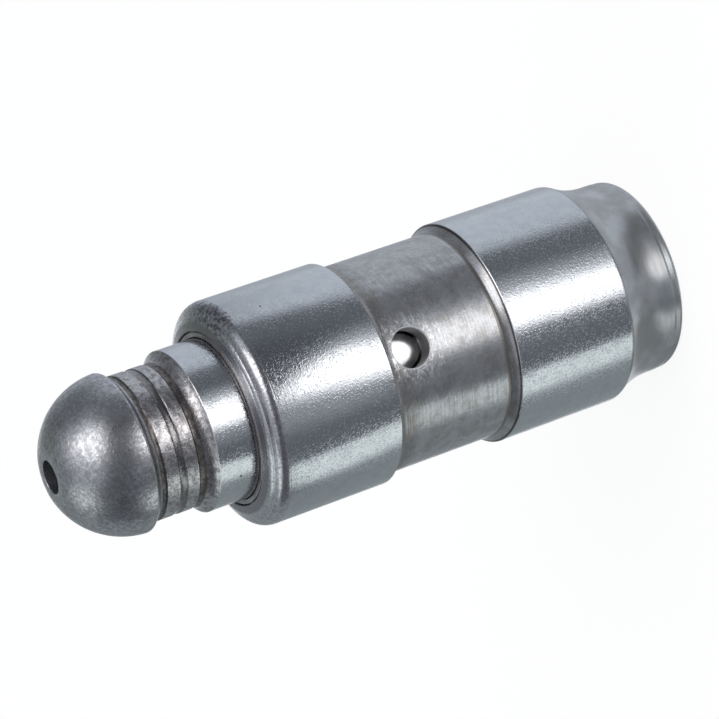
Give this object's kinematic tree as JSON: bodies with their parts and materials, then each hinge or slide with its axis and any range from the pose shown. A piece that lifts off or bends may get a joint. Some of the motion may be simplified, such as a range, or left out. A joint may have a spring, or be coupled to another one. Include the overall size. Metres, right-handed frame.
{
  "type": "hydraulic valve lifter",
  "caption": "Ball-ended hydraulic lash adjuster: ground cylindrical body with an oil groove and feed hole, rolled lip, sprung hollow plunger with a necked ball head.",
  "frame": {"origin": "centre of the housing's flat tail end", "axes": "+Z along the lifter's axis, from the tail towards the ball; the feed hole faces -Y"},
  "size_m": [0.012, 0.012, 0.0347],
  "materials": {
    "ground_steel": "ground lands, fine-turned oil groove, grey heat-treated tail",
    "ring_steel": "bright drawn steel",
    "tumbled_steel": "ground stem, brown-grey heat-treated neck, tumbled satin ball",
    "lapped_steel": "lapped",
    "bearing_steel": "polished bearing ball",
    "pressed_steel": "pressed from sheet",
    "spring_steel": "oil-tempered wire"
  },
  "bodies": {
    "housing": {"housing": "ground_steel", "retaining_ring": "ring_steel", "return_spring": "spring_steel"},
    "lower_plunger": {"lower_plunger": "lapped_steel", "ball_retainer": "pressed_steel", "check_spring": "spring_steel"},
    "ball_plunger": {"ball_plunger": "tumbled_steel"},
    "check_ball": {"check_ball": "bearing_steel"}
  },
  "joints": [
    {"name": "plunger_slide", "type": "slide", "parent": "housing", "child": "lower_plunger", "axis": [0, 0, 1], "range_m": [-0.003, 0], "stiffness_N_per_m": 1500, "springref_m": 0.0015, "deforming": ["return_spring"]},
    {"name": "ball_plunger_turn", "type": "hinge", "parent": "lower_plunger", "child": "ball_plunger", "pos_m": [0, 0, 0.01272], "axis": [0, 0, 1], "continuous": true},
    {"name": "check_ball_lift", "type": "slide", "parent": "lower_plunger", "child": "check_ball", "axis": [0, 0, 1], "range_m": [-0.00025, 0], "stiffness_N_per_m": 60, "springref_m": 0.0004, "deforming": ["check_spring"]}
  ]
}
